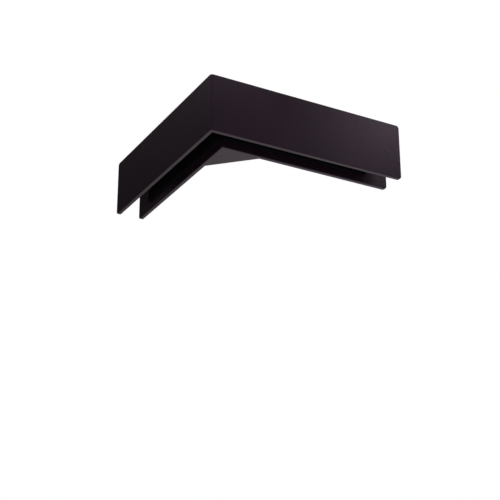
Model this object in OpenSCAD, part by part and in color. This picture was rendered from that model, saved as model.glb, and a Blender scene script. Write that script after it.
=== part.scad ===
// Corner stabilizer bracket: two slotted legs at a right angle, stiffened by a gusset.
// It sits over the top corner of two upright sheets and holds them square to each other.
// The slot opens downwards and runs round the corner and out of both leg ends.
// The origin is where the middle lines of the two slots cross, level with the slot's mouth.

/* [Sheets] */
// Thickness of the sheets that the slots grip
sheet_t = 8; // [5:0.5:15]
// Play between a sheet and the pad on each of its sides
sheet_play = 0.2; // [0.1:0.05:0.5]
// How far a sheet goes up into the slot
bite_d = 21; // [16:1:45]

/* [Body] */
// Length of each leg along its outer face
leg_l = 100; // [60:1:200]
// Thickness of the flanges beside the slot
flange_t = 2; // [1.5:0.1:5]
// Thickness of the web over the slot
web_t = 6; // [2:0.5:12]
// Length of the gusset along each leg
gusset_l = 18; // [6:1:30]
// Radius of the outer corner, and of the corners at the ends of the legs
corner_r = 1.5; // [0.8:0.1:3]
// Radius of the broken edges
arris_r = 0.4; // [0.1:0.05:0.6]
// Radius in the roots of the slot
root_r = 0.6; // [0.2:0.1:1.2]

/* [Pads] */
// Thickness of the side pads
side_pad_t = 0.8; // [0.4:0.1:2]
// Thickness of the seat pads on the slot's ceiling
seat_pad_t = 1; // [0.5:0.1:3]
// Height of bare flange below the side pads
lip_h = 3.8; // [1:0.1:8]
// Length of bare slot between the pads and the free end of the leg
end_bare_l = 12.5; // [2:0.5:25]
// Radius of the pads' corners
pad_corner_r = 1.2; // [0.4:0.1:1.6]
// Height of the sloped lead-in on the lower edge of the side pads
lead_in_h = 0.9; // [0.2:0.1:2]
// Gap between a pad and the edge, root or pad beside it
pad_gap = 0.3; // [0.1:0.1:1]

/* [Hidden] */
$fn = 48;

slot_w = sheet_t + 2 * (sheet_play + side_pad_t);
slot_d = bite_d + seat_pad_t;
body_w = slot_w + 2 * flange_t;
body_h = slot_d + web_t;

// Distance from a slot's middle line to its walls, and to the outside of the leg
wall_y = slot_w / 2;
face_y = body_w / 2;
leg_end = leg_l - face_y;

// Height of the side pads and half the width of the seat pads, clear of the slot's roots
side_pad_h = slot_d - root_r - pad_gap - lip_h;
seat_pad_y = wall_y - root_r - pad_gap;

// Where the pads stop near the free end, and where they start near the corner
pad_end = leg_end - end_bare_l;
outer_pad_start = side_pad_t + pad_gap - wall_y;
inner_pad_start = wall_y + arris_r + pad_gap;

// How far cutting and joining shapes reach past each other
overlap = 1;

coat_black = [0.13, 0.115, 0.125];
rubber_black = [0.04, 0.04, 0.045];

// Flat bar with rounded corners, its lower left corner at the origin
module rounded_bar(size, r) {
    translate([r, 0]) square([size.x - 2 * r, size.y]);
    translate([0, r]) square([size.x, size.y - 2 * r]);
    for (x = [r, size.x - r], y = [r, size.y - r])
        translate([x, y]) circle(r);
}

// Flat filling of an inside corner whose walls run from the origin along +X and +Y
module corner_fillet(r) {
    difference() {
        translate([-r / 2, -r / 2]) square(r * 1.5);
        translate([r, r]) circle(r);
    }
}

// Flat sliver that rounds an outside corner whose walls run from the origin along +X and +Y
module corner_cut(r) {
    difference() {
        translate([-r, -r]) square(2 * r);
        translate([r, r]) circle(r);
    }
}

// Quarter ring that breaks the edge round a rounded corner, about the corner's own axis.
// The face that it breaks lies at z = 0, and the metal above it.
module rim_cut() {
    rotate_extrude(angle = 90)
        translate([corner_r, 0]) mirror([1, 0]) corner_cut(arris_r);
}

// Moves what lies along X so that it lies along Y, with inside and outside kept
module along_y() {
    mirror([1, -1, 0]) children();
}

// Cross-section of a leg: two flanges that hang from a web, with filleted roots
module leg_section() {
    for (y = [-face_y, wall_y])
        translate([y, 0]) rounded_bar([flange_t, body_h], arris_r);
    translate([-face_y, slot_d]) rounded_bar([body_w, web_t], arris_r);
    for (side = [0, 1])
        mirror([side, 0]) translate([-wall_y, slot_d]) mirror([0, 1]) corner_fillet(root_r);
}

// Plan of a leg, mitred at the corner and rounded at the free end
module leg_plan() {
    intersection() {
        translate([-body_w, -face_y]) rounded_bar([leg_end + body_w, body_w], arris_r);
        polygon([
            [-face_y, -face_y],
            [leg_l, -face_y],
            [leg_l, face_y],
            [face_y, face_y]
        ]);
    }
}

// Side view of a leg, rounded at the free end
module leg_elevation() {
    translate([-body_w, 0]) rounded_bar([leg_end + body_w, body_h], corner_r);
}

// Cuts that break the edges at the free end of a leg, on the side where y is positive
module leg_end_cuts() {
    // Upright edge of the flange, inside the slot
    translate([leg_end, wall_y, corner_r])
        mirror([1, 0, 0])
            linear_extrude(slot_d - root_r - corner_r) corner_cut(arris_r);
    translate([leg_end - corner_r, 0, 0]) {
        // Lower corner, inside the slot
        translate([0, wall_y, corner_r]) rotate([-90, 0, 0]) rim_cut();
        // Lower and upper corners, on the outside
        translate([0, face_y, corner_r]) mirror([0, 0, 1]) rotate([90, 0, 0]) rim_cut();
        translate([0, face_y, body_h - corner_r]) rotate([90, 0, 0]) rim_cut();
    }
}

// Cuts that round the bracket's outer corner and break its edges
module outer_corner_cuts() {
    translate([-face_y, -face_y, -overlap])
        linear_extrude(body_h + 2 * overlap) corner_cut(corner_r);
    for (end = [0, 1])
        translate([corner_r - face_y, corner_r - face_y, end * body_h])
            mirror([0, 0, end]) rotate([0, 0, 180]) rim_cut();
}

// One slotted leg along X, cut to meet its twin at the mitre
module leg() {
    difference() {
        intersection() {
            translate([-body_w, 0, 0])
                rotate([90, 0, 90]) linear_extrude(leg_l + body_w) leg_section();
            translate([0, 0, -overlap])
                linear_extrude(body_h + 2 * overlap) leg_plan();
            rotate([90, 0, 0])
                linear_extrude(body_w + 2 * overlap, center = true) leg_elevation();
        }
        for (side = [0, 1])
            mirror([0, side, 0]) leg_end_cuts();
    }
}

// Bar whose far side is the gusset's sloping face, with that face's lower edge broken
module gusset_bar() {
    reach = (2 * face_y + gusset_l) * cos(45);
    rotate([0, 0, 45]) rotate([90, 0, 0])
        linear_extrude(4 * reach, center = true)
            rounded_bar([reach, body_h + 2 * arris_r], arris_r);
}

// Solid three-cornered gusset across the inside of the corner, as high as the legs
module gusset() {
    // Sunk half a flange deep into the legs
    root = face_y - flange_t / 2;
    tip = face_y + gusset_l + flange_t / 2;
    intersection() {
        linear_extrude(body_h) polygon([[root, root], [tip, root], [root, tip]]);
        gusset_bar();
        translate([0, 0, body_h]) mirror([0, 0, 1]) gusset_bar();
    }
}

// The whole body, one casting
module bracket_body() {
    color(coat_black)
        difference() {
            union() {
                leg();
                along_y() leg();
                gusset();
                // Fillet in the slot's outside corner
                translate([-wall_y, -wall_y, arris_r])
                    linear_extrude(slot_d) corner_fillet(root_r);
            }
            outer_corner_cuts();
            // Broken edge of the slot's inside corner
            translate([wall_y, wall_y, -overlap])
                linear_extrude(slot_d - root_r + overlap) corner_cut(arris_r);
        }
}

// Flat rubber strip on a wall at y = 0, its lower left corner at the origin
module side_pad(length) {
    color(rubber_black)
        intersection() {
            rotate([90, 0, 90]) linear_extrude(length) polygon([
                [0, 0],
                [side_pad_t / 2, 0],
                [side_pad_t, lead_in_h],
                [side_pad_t, side_pad_h],
                [0, side_pad_h]
            ]);
            translate([0, side_pad_t, 0]) rotate([90, 0, 0])
                linear_extrude(side_pad_t) rounded_bar([length, side_pad_h], pad_corner_r);
        }
}

// Pad on the slot side of the outer flange
module outer_side_pad_x() {
    translate([outer_pad_start, -wall_y, lip_h]) side_pad(pad_end - outer_pad_start);
}

module outer_side_pad_y() {
    along_y() outer_side_pad_x();
}

// Pad on the slot side of the inner flange
module inner_side_pad_x() {
    translate([inner_pad_start, wall_y, lip_h])
        mirror([0, 1, 0]) side_pad(pad_end - inner_pad_start);
}

module inner_side_pad_y() {
    along_y() inner_side_pad_x();
}

// Pad on the slot's ceiling, which the sheet's top edge bears on
module seat_pad_x() {
    color(rubber_black)
        translate([wall_y, -seat_pad_y, bite_d])
            linear_extrude(seat_pad_t)
                rounded_bar([pad_end - wall_y, 2 * seat_pad_y], pad_corner_r);
}

module seat_pad_y() {
    along_y() seat_pad_x();
}

bracket_body();
outer_side_pad_x();
outer_side_pad_y();
inner_side_pad_x();
inner_side_pad_y();
seat_pad_x();
seat_pad_y();
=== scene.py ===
"""Looks of the corner stabilizer bracket.

One powder-coated body with a slot along both legs, and six rubber pads that line the slot.
Sizes are in millimetres times MM. X and Y run along the legs and Z from the slot's mouth to the web.
"""

from math import cos, radians, sin

import bmesh
import bpy
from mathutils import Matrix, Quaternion, Vector


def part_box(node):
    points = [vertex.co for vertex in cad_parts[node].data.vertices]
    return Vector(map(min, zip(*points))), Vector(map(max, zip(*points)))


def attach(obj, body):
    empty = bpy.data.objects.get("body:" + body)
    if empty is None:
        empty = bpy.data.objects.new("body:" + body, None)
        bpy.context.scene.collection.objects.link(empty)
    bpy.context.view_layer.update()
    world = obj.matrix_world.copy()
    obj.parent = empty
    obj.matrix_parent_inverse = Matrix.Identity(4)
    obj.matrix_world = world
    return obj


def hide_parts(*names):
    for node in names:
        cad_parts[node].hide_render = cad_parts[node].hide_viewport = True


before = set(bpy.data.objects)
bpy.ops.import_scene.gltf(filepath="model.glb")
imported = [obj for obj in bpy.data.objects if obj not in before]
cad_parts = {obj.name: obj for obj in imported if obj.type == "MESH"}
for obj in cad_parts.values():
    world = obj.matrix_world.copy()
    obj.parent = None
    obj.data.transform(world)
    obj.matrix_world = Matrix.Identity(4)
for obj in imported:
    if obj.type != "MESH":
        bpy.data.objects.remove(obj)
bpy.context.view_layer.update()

MM = 0.001
X = Vector((1, 0, 0))
Y = Vector((0, 1, 0))
Z = Vector((0, 0, 1))

# Sizes of the body that the frame gives
body_low, body_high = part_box("bracket_body")
leg_half_width = -body_low.x
slot_half_width = -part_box("outer_side_pad_x")[0].y
slot_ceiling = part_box("seat_pad_x")[1].z

# Sizes of the body that are its maker's choice
gusset_length = 18 * MM
corner_radius = 1.5 * MM
corner_steps = 10
arris_radius = 0.4 * MM
root_radius = 0.6 * MM
arris_steps = 4

# Sizes of the pads
pad_corner_radius = 1.2 * MM
pad_corner_steps = 8
pad_lead_in = 0.9 * MM
pad_rim_radius = 0.15 * MM
pad_rim_steps = 3

# How far a cutting shape reaches past what it cuts
overshoot = 5 * MM

# How near a point must be to the place where it is looked for, and to a plane to lie on it
tolerance = 0.01 * MM
plane_tolerance = 0.001 * MM

# How well a direction must agree with the one that is looked for, as a cosine
aligned = 0.999

# How far an edge bends before it is sharp, on the body and on the pads
body_sharp_angle = radians(30)
pad_sharp_angle = radians(35)

# How little neighbouring faces may bend to be merged into one flat face
flat_angle = radians(1)

# The part of the slow noise's range that carries a finish all the way from one tone to the other
noise_low, noise_high = 0.3, 0.7

# Where the camera stands and how it is turned
camera_place = Vector((-230.95, -442.74, -264.42)) * MM
camera_pitch = radians(23.04)
camera_azimuth = radians(60.826)
camera_roll = radians(-0.15)
camera_forward = Vector((
    cos(camera_pitch) * cos(camera_azimuth),
    cos(camera_pitch) * sin(camera_azimuth),
    sin(camera_pitch),
))

# The camera's sensor and focal length, in the millimetres that cameras give, and its nearest view
camera_sensor = 36
camera_lens = 92.95
camera_nearest = 10 * MM

# The floor: its size and how far it lies below the bracket, in metres, and how pale it is
floor_size = 20
floor_drop = 0.45
floor_grey = 0.8
floor_roughness = 0.9

# How pale the camera sees the floor, and how its glow in mirrors rises across it, in metres
floor_to_camera = 0.8
floor_glow_from, floor_glow_to = -0.45, -0.2
floor_glow_low, floor_glow_high = 0, 0.75

# The light all round, and how far up from the horizon the camera's white is full
world_light = 0.015
white_from = 0.18

# Where mirrors begin and cease to see that white, as cosines from the camera's view
wall_edge, wall_full = 0.88, 0.98

# What the lamps shine at, in metres
bracket_corner = (0, 0, 0.014)
near_corner = (0, 0, 0.02)
right_leg_end = (0.093, -0.007, 0.014)
right_leg_side = (0.03, -0.007, 0.02)
left_leg_side = (-0.007, 0.05, 0.02)
left_leg_back = (-0.007, 0.04, 0.014)
bracket_top = (0.04, 0.04, 0)


# Modelling steps

def select_nothing():
    bpy.ops.object.select_all(action="DESELECT")


def select_only(piece):
    select_nothing()
    piece.select_set(True)
    bpy.context.view_layer.objects.active = piece


def block(name, low, high):
    """A new block between two corners, with its place in its mesh."""
    select_nothing()
    bpy.ops.mesh.primitive_cube_add(size=1, location=(low + high) / 2)
    piece = bpy.context.object
    piece.name = piece.data.name = name
    piece.scale = high - low
    bpy.ops.object.transform_apply(location=True, rotation=True, scale=True)
    return piece


def pick(piece, kind, wanted):
    """Selects the faces or edges that wanted() is true for. The piece is in edit mode."""
    bpy.ops.mesh.select_mode(type=kind)
    bpy.ops.mesh.select_all(action="DESELECT")
    mesh = bmesh.from_edit_mesh(piece.data)
    items = mesh.faces if kind == "FACE" else mesh.edges
    for item in items:
        if wanted(item):
            item.select_set(True)
    bmesh.update_edit_mesh(piece.data)


def middle(edge):
    return (edge.verts[0].co + edge.verts[1].co) / 2


def runs_along(edge, direction):
    run = edge.verts[1].co - edge.verts[0].co
    return abs(run.normalized().dot(direction)) > aligned


def looks_along(face, direction):
    return face.normal.dot(direction) > aligned


def draw_out(direction, distance):
    """Extrudes the selected face."""
    bpy.ops.mesh.extrude_region_move(TRANSFORM_OT_translate={"value": direction * distance})


def merge_flat_faces():
    bpy.ops.mesh.select_all(action="SELECT")
    bpy.ops.mesh.dissolve_limited(angle_limit=flat_angle)


def apply_modifiers(piece):
    select_only(piece)
    for modifier in list(piece.modifiers):
        bpy.ops.object.modifier_apply(modifier=modifier.name)


# The body

def corner_bar(name, low, high, leg_end):
    """A bar round the right angle: a corner block, drawn out along both legs."""
    piece = block(name, low, high)
    bpy.ops.object.mode_set(mode="EDIT")
    pick(piece, "FACE", lambda face: looks_along(face, X))
    draw_out(X, leg_end - high.x)
    pick(piece, "FACE", lambda face: looks_along(face, Y) and face.calc_center_median().x < high.x)
    draw_out(Y, leg_end - high.y)
    merge_flat_faces()
    bpy.ops.object.mode_set(mode="OBJECT")
    return piece


def is_inside_corner(edge, distance):
    place = middle(edge)
    return (
        runs_along(edge, Z)
        and abs(place.x - distance) < tolerance
        and abs(place.y - distance) < tolerance
    )


def add_gusset(piece):
    """Fills the inside corner as far along each leg as the gusset reaches."""
    bpy.ops.object.mode_set(mode="EDIT")
    pick(piece, "EDGE", lambda edge: is_inside_corner(edge, leg_half_width))
    bpy.ops.mesh.bevel(offset=gusset_length, segments=1, affect="EDGES", clamp_overlap=False)
    bpy.ops.object.mode_set(mode="OBJECT")


def is_outer_corner(edge):
    place = middle(edge)
    return runs_along(edge, Z) and place.x < 0 and place.y < 0


def is_across_leg_end(edge, leg_end):
    place = middle(edge)
    return (runs_along(edge, Y) and place.x > leg_end - tolerance) or (
        runs_along(edge, X) and place.y > leg_end - tolerance
    )


def round_corners(piece, leg_end):
    """Rounds the outer corner in plan, and the ends of the legs as seen from the side."""
    bpy.ops.object.mode_set(mode="EDIT")
    pick(piece, "EDGE", is_outer_corner)
    bpy.ops.mesh.bevel(offset=corner_radius, segments=corner_steps, affect="EDGES")
    pick(piece, "EDGE", lambda edge: is_across_leg_end(edge, leg_end))
    bpy.ops.mesh.bevel(offset=corner_radius, segments=corner_steps, affect="EDGES")
    bpy.ops.object.mode_set(mode="OBJECT")


def cut_away(piece, cutter):
    cut = piece.modifiers.new("cut", "BOOLEAN")
    cut.operation = "DIFFERENCE"
    cut.solver = "EXACT"
    cut.object = cutter
    apply_modifiers(piece)
    bpy.data.objects.remove(cutter)
    bpy.ops.object.mode_set(mode="EDIT")
    merge_flat_faces()
    bpy.ops.object.mode_set(mode="OBJECT")


def weigh_edges(piece):
    """The slot's roots get the full bevel and the arrises their share of it."""
    mesh = bmesh.new()
    mesh.from_mesh(piece.data)
    weight = mesh.edges.layers.float.new("bevel_weight_edge")
    for edge in mesh.edges:
        if edge.calc_face_angle(0) > body_sharp_angle:
            edge[weight] = arris_radius / root_radius if edge.is_convex else 1
    mesh.to_mesh(piece.data)
    mesh.free()


def round_edges(piece):
    """Rounds the weighted edges and keeps the flat faces flat in the shading."""
    select_only(piece)
    bpy.ops.object.shade_smooth()
    bevel = piece.modifiers.new("rounding", "BEVEL")
    bevel.width = root_radius
    bevel.segments = arris_steps
    bevel.limit_method = "WEIGHT"
    bevel.harden_normals = True
    apply_modifiers(piece)


def make_body():
    body = corner_bar(
        "coated_body",
        body_low,
        Vector((leg_half_width, leg_half_width, body_high.z)),
        body_high.x,
    )
    add_gusset(body)
    round_corners(body, body_high.x)
    slot = corner_bar(
        "slot_shape",
        Vector((-slot_half_width, -slot_half_width, -overshoot)),
        Vector((slot_half_width, slot_half_width, slot_ceiling)),
        body_high.x + overshoot,
    )
    cut_away(body, slot)
    weigh_edges(body)
    round_edges(body)
    return body


# The pads

def front_of(node, facing):
    """How far the node reaches in the direction that it faces."""
    return max(corner.dot(facing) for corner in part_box(node))


def pad_blank(name, node, facing):
    """The pad's block with its corners rounded, seen from the side that it faces."""
    low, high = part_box(node)
    piece = block(name, low, high)
    bpy.ops.object.mode_set(mode="EDIT")
    pick(piece, "EDGE", lambda edge: runs_along(edge, facing))
    bpy.ops.mesh.bevel(offset=pad_corner_radius, segments=pad_corner_steps, affect="EDGES")
    return piece


def finish_pad(piece, node, facing):
    """Softens the rim on the side that the pad faces, and keeps its flat faces flat in the shading."""
    front = front_of(node, facing)
    pick(
        piece,
        "EDGE",
        lambda edge: all(abs(corner.co.dot(facing) - front) < tolerance for corner in edge.verts),
    )
    bpy.ops.mesh.bevel(offset=pad_rim_radius, segments=pad_rim_steps, affect="EDGES")
    bpy.ops.object.mode_set(mode="OBJECT")
    select_only(piece)
    bpy.ops.object.shade_smooth_by_angle(angle=pad_sharp_angle)
    flatten = piece.modifiers.new("flat_face_shading", "WEIGHTED_NORMAL")
    flatten.keep_sharp = True
    apply_modifiers(piece)
    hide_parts(node)
    return piece


def side_pad(name, node, facing):
    """A strip on a flange, with a lead-in along its lower edge that slopes to half its thickness."""
    low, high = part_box(node)
    piece = pad_blank(name, node, facing)
    thickness = abs((high - low).dot(facing))
    bpy.ops.mesh.select_all(action="SELECT")
    bpy.ops.mesh.bisect(
        plane_co=facing * front_of(node, facing) + Z * (low.z + pad_lead_in),
        plane_no=(facing * pad_lead_in - Z * thickness / 2).normalized(),
        use_fill=True,
        clear_outer=True,
        threshold=plane_tolerance,
    )
    bpy.ops.mesh.select_all(action="SELECT")
    bpy.ops.mesh.normals_make_consistent(inside=False)
    return finish_pad(piece, node, facing)


def seat_pad(name, node):
    """A strip on the slot's ceiling."""
    return finish_pad(pad_blank(name, node, -Z), node, -Z)


# Finishes

def new_group(name, inputs, outputs):
    group = bpy.data.node_groups.new(name, "ShaderNodeTree")
    for socket in inputs:
        group.interface.new_socket(socket, in_out="INPUT", socket_type="NodeSocketFloat")
    for socket in outputs:
        group.interface.new_socket(socket, in_out="OUTPUT", socket_type="NodeSocketFloat")
    return group, group.nodes.new("NodeGroupInput"), group.nodes.new("NodeGroupOutput")


def make_grain_group():
    """Surface of a sprayed or moulded finish: fine grain on soft ripples, and slow patches across it."""
    group, given, result = new_group(
        "surface_grain",
        ("Grains per metre", "Ripples per metre", "Ripple share", "Patches per metre"),
        ("Height", "Patches"),
    )
    join = group.links.new
    place = group.nodes.new("ShaderNodeTexCoord")

    def noise(scale, detail):
        texture = group.nodes.new("ShaderNodeTexNoise")
        texture.inputs["Detail"].default_value = detail
        join(place.outputs["Object"], texture.inputs["Vector"])
        join(given.outputs[scale], texture.inputs["Scale"])
        return texture

    fine = noise("Grains per metre", detail=3)
    fine.inputs["Roughness"].default_value = 0.6
    ripples = noise("Ripples per metre", detail=1)
    patches = noise("Patches per metre", detail=4)
    height = group.nodes.new("ShaderNodeMath")
    height.operation = "MULTIPLY_ADD"
    spread = group.nodes.new("ShaderNodeMapRange")
    spread.inputs["From Min"].default_value = noise_low
    spread.inputs["From Max"].default_value = noise_high
    join(ripples.outputs["Fac"], height.inputs[0])
    join(given.outputs["Ripple share"], height.inputs[1])
    join(fine.outputs["Fac"], height.inputs[2])
    join(patches.outputs["Fac"], spread.inputs["Value"])
    join(height.outputs["Value"], result.inputs["Height"])
    join(spread.outputs["Result"], result.inputs["Patches"])
    return group


def surface(name, scales, dark, light, smooth, rough, grain_depth, shine, tint):
    """A procedural finish: colour and roughness drift with the patches, and the grain raises the surface."""
    material = bpy.data.materials.new(name)
    material.use_nodes = True
    nodes = material.node_tree.nodes
    join = material.node_tree.links.new
    shader = nodes["Principled BSDF"]
    shader.inputs["Specular IOR Level"].default_value = shine
    shader.inputs["Specular Tint"].default_value = (*tint, 1)
    texture = nodes.new("ShaderNodeGroup")
    texture.node_tree = grain
    for socket, value in scales.items():
        texture.inputs[socket].default_value = value
    colour = nodes.new("ShaderNodeMix")
    colour.data_type = "RGBA"
    colour.inputs["A"].default_value = (*dark, 1)
    colour.inputs["B"].default_value = (*light, 1)
    roughness = nodes.new("ShaderNodeMapRange")
    roughness.inputs["To Min"].default_value = smooth
    roughness.inputs["To Max"].default_value = rough
    bump = nodes.new("ShaderNodeBump")
    bump.inputs["Distance"].default_value = grain_depth
    join(texture.outputs["Patches"], colour.inputs["Factor"])
    join(texture.outputs["Patches"], roughness.inputs["Value"])
    join(texture.outputs["Height"], bump.inputs["Height"])
    join(colour.outputs["Result"], shader.inputs["Base Color"])
    join(roughness.outputs["Result"], shader.inputs["Roughness"])
    join(bump.outputs["Normal"], shader.inputs["Normal"])
    return material


# The studio

def soft_box(name, place, aim, width, power):
    """A square lamp that shines from a place at a point. The camera doesn't see the lamp itself."""
    select_nothing()
    bpy.ops.object.light_add(type="AREA", location=place)
    lamp = bpy.context.object
    lamp.name = name
    lamp.data.size = width
    lamp.data.energy = power
    lamp.visible_camera = False
    lamp.rotation_euler = (Vector(aim) - Vector(place)).to_track_quat("-Z", "Y").to_euler()


def combine(nodes, join, operation, first, second):
    """A Math node that works on two values, each a socket or a number."""
    node = nodes.new("ShaderNodeMath")
    node.operation = operation
    for socket, value in zip(node.inputs, (first, second)):
        if isinstance(value, (int, float)):
            socket.default_value = value
        else:
            join(value, socket)
    return node.outputs["Value"]


def seen_in_mirrors(nodes, join, path):
    """1 for a ray that left a mirror or passed through something clear, and 0 for any other."""
    glossy, clear = path.outputs["Is Glossy Ray"], path.outputs["Is Transmission Ray"]
    return combine(nodes, join, "MAXIMUM", glossy, clear)


def make_floor():
    """A pale floor that takes shadows. The camera and mirrors see it paler than it is lit.

    In mirrors it grows paler from beyond the end of the leg along Y to beyond the leg along X.
    """
    select_nothing()
    bpy.ops.mesh.primitive_plane_add(size=floor_size, location=(0, 0, -floor_drop))
    floor = bpy.context.object
    floor.name = "floor"
    material = bpy.data.materials.new("pale_floor")
    material.use_nodes = True
    nodes = material.node_tree.nodes
    join = material.node_tree.links.new
    shader = nodes["Principled BSDF"]
    shader.inputs["Base Color"].default_value = (floor_grey, floor_grey, floor_grey, 1)
    shader.inputs["Roughness"].default_value = floor_roughness
    shader.inputs["Specular IOR Level"].default_value = 0
    white = nodes.new("ShaderNodeEmission")
    path = nodes.new("ShaderNodeLightPath")
    choose = nodes.new("ShaderNodeMixShader")
    place = nodes.new("ShaderNodeTexCoord")
    across = nodes.new("ShaderNodeVectorMath")
    across.operation = "DOT_PRODUCT"
    across.inputs[1].default_value = (X - Y).normalized()
    glow = nodes.new("ShaderNodeMapRange")
    glow.inputs["From Min"].default_value = floor_glow_from
    glow.inputs["From Max"].default_value = floor_glow_to
    glow.inputs["To Min"].default_value = floor_glow_low
    glow.inputs["To Max"].default_value = floor_glow_high
    join(place.outputs["Object"], across.inputs[0])
    join(across.outputs["Value"], glow.inputs["Value"])
    mirrored = combine(nodes, join, "MULTIPLY", seen_in_mirrors(nodes, join, path), glow.outputs["Result"])
    seen = combine(nodes, join, "MULTIPLY", path.outputs["Is Camera Ray"], floor_to_camera)
    join(combine(nodes, join, "MAXIMUM", seen, mirrored), choose.inputs["Fac"])
    join(shader.outputs["BSDF"], choose.inputs[1])
    join(white.outputs["Emission"], choose.inputs[2])
    join(choose.outputs["Shader"], nodes["Material Output"].inputs["Surface"])
    floor.data.materials.append(material)


def make_world():
    """Dim light all round. The camera sees white, which meets the floor's tone at the horizon.

    Mirrors see the same white behind the bracket.
    """
    world = bpy.data.worlds.new("studio")
    bpy.context.scene.world = world
    world.use_nodes = True
    nodes = world.node_tree.nodes
    join = world.node_tree.links.new
    light = nodes["Background"]
    light.inputs["Color"].default_value = (1, 1, 1, 1)
    light.inputs["Strength"].default_value = world_light
    white = nodes.new("ShaderNodeBackground")
    white.inputs["Color"].default_value = (1, 1, 1, 1)
    height = nodes.new("ShaderNodeSeparateXYZ")
    rise = nodes.new("ShaderNodeMapRange")
    rise.inputs["From Max"].default_value = white_from
    rise.inputs["To Min"].default_value = floor_to_camera
    direction = nodes.new("ShaderNodeTexCoord")
    facing = nodes.new("ShaderNodeVectorMath")
    facing.operation = "DOT_PRODUCT"
    facing.inputs[1].default_value = camera_forward
    wall = nodes.new("ShaderNodeMapRange")
    wall.inputs["From Min"].default_value = wall_edge
    wall.inputs["From Max"].default_value = wall_full
    path = nodes.new("ShaderNodeLightPath")
    choose = nodes.new("ShaderNodeMixShader")
    join(direction.outputs["Generated"], height.inputs["Vector"])
    join(height.outputs["Z"], rise.inputs["Value"])
    join(rise.outputs["Result"], white.inputs["Strength"])
    join(direction.outputs["Generated"], facing.inputs[0])
    join(facing.outputs["Value"], wall.inputs["Value"])
    mirrored = combine(nodes, join, "MULTIPLY", seen_in_mirrors(nodes, join, path), wall.outputs["Result"])
    join(combine(nodes, join, "MAXIMUM", path.outputs["Is Camera Ray"], mirrored), choose.inputs["Fac"])
    join(light.outputs["Background"], choose.inputs[1])
    join(white.outputs["Background"], choose.inputs[2])
    join(choose.outputs["Shader"], nodes["World Output"].inputs["Surface"])


def make_lamps():
    """A large lamp overhead, and small ones round the outer faces that shade them along the legs.

    Places and widths are in metres.
    """
    soft_box("top_lamp", (0.4, 0.5, 2.2), bracket_top, width=1.5, power=36)
    soft_box("left_end_lamp", (-0.092, 0.344, 0.196), bracket_corner, width=0.2, power=0.0033)
    soft_box("left_side_lamp", (-0.355, 0.031, 0.196), bracket_corner, width=0.2, power=0.048)
    soft_box("right_side_lamp", (-0.122, -0.335, 0.196), bracket_corner, width=0.2, power=0.0219)
    soft_box("left_back_lamp", (-0.1, 0.24, 0.2), left_leg_back, width=0.12, power=0.0038)
    soft_box("right_end_lamp", (0.17, -0.09, 0.12), right_leg_end, width=0.08, power=0.0407)
    soft_box("left_near_lamp", (-0.07, 0.06, 0.11), left_leg_side, width=0.08, power=0.0068)
    soft_box("right_near_lamp", (0.03, -0.07, 0.11), right_leg_side, width=0.08, power=0.0153)
    soft_box("corner_lamp", (-0.06, -0.06, 0.12), near_corner, width=0.08, power=0.0226)


def make_camera():
    """The camera below the bracket, outside its corner, that looks up at it."""
    select_nothing()
    bpy.ops.object.camera_add(location=camera_place)
    camera = bpy.context.object
    camera.name = "photo_camera"
    camera.rotation_mode = "QUATERNION"
    camera.rotation_quaternion = camera_forward.to_track_quat("-Z", "Y") @ Quaternion(Z, camera_roll)
    camera.data.sensor_width = camera_sensor
    camera.data.lens = camera_lens
    camera.data.clip_start = camera_nearest
    bpy.context.scene.camera = camera


def dress(piece, material):
    piece.data.materials.clear()
    piece.data.materials.append(material)
    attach(piece, "root")


grain = make_grain_group()
powder_coat = surface(
    "powder_coat",
    {"Grains per metre": 2600, "Ripples per metre": 420, "Ripple share": 5, "Patches per metre": 45},
    dark=(0.024, 0.011, 0.0216),
    light=(0.0281, 0.013, 0.0254),
    smooth=0.36,
    rough=0.42,
    grain_depth=0.009 * MM,
    shine=0.5,
    tint=(1, 0.75, 0.93),
)
matte_rubber = surface(
    "matte_rubber",
    {"Grains per metre": 5200, "Ripples per metre": 700, "Ripple share": 1, "Patches per metre": 90},
    dark=(0.0045, 0.0038, 0.0044),
    light=(0.0078, 0.0067, 0.0076),
    smooth=0.75,
    rough=0.9,
    grain_depth=0.02 * MM,
    shine=0.1,
    tint=(1, 1, 1),
)

body = make_body()
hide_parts("bracket_body")
dress(body, powder_coat)

pads = [
    side_pad("outer_pad_x", "outer_side_pad_x", Y),
    side_pad("outer_pad_y", "outer_side_pad_y", X),
    side_pad("inner_pad_x", "inner_side_pad_x", -Y),
    side_pad("inner_pad_y", "inner_side_pad_y", -X),
    seat_pad("ceiling_pad_x", "seat_pad_x"),
    seat_pad("ceiling_pad_y", "seat_pad_y"),
]
for pad in pads:
    dress(pad, matte_rubber)

make_floor()
make_world()
make_lamps()
make_camera()
bpy.context.scene.view_settings.view_transform = "Standard"
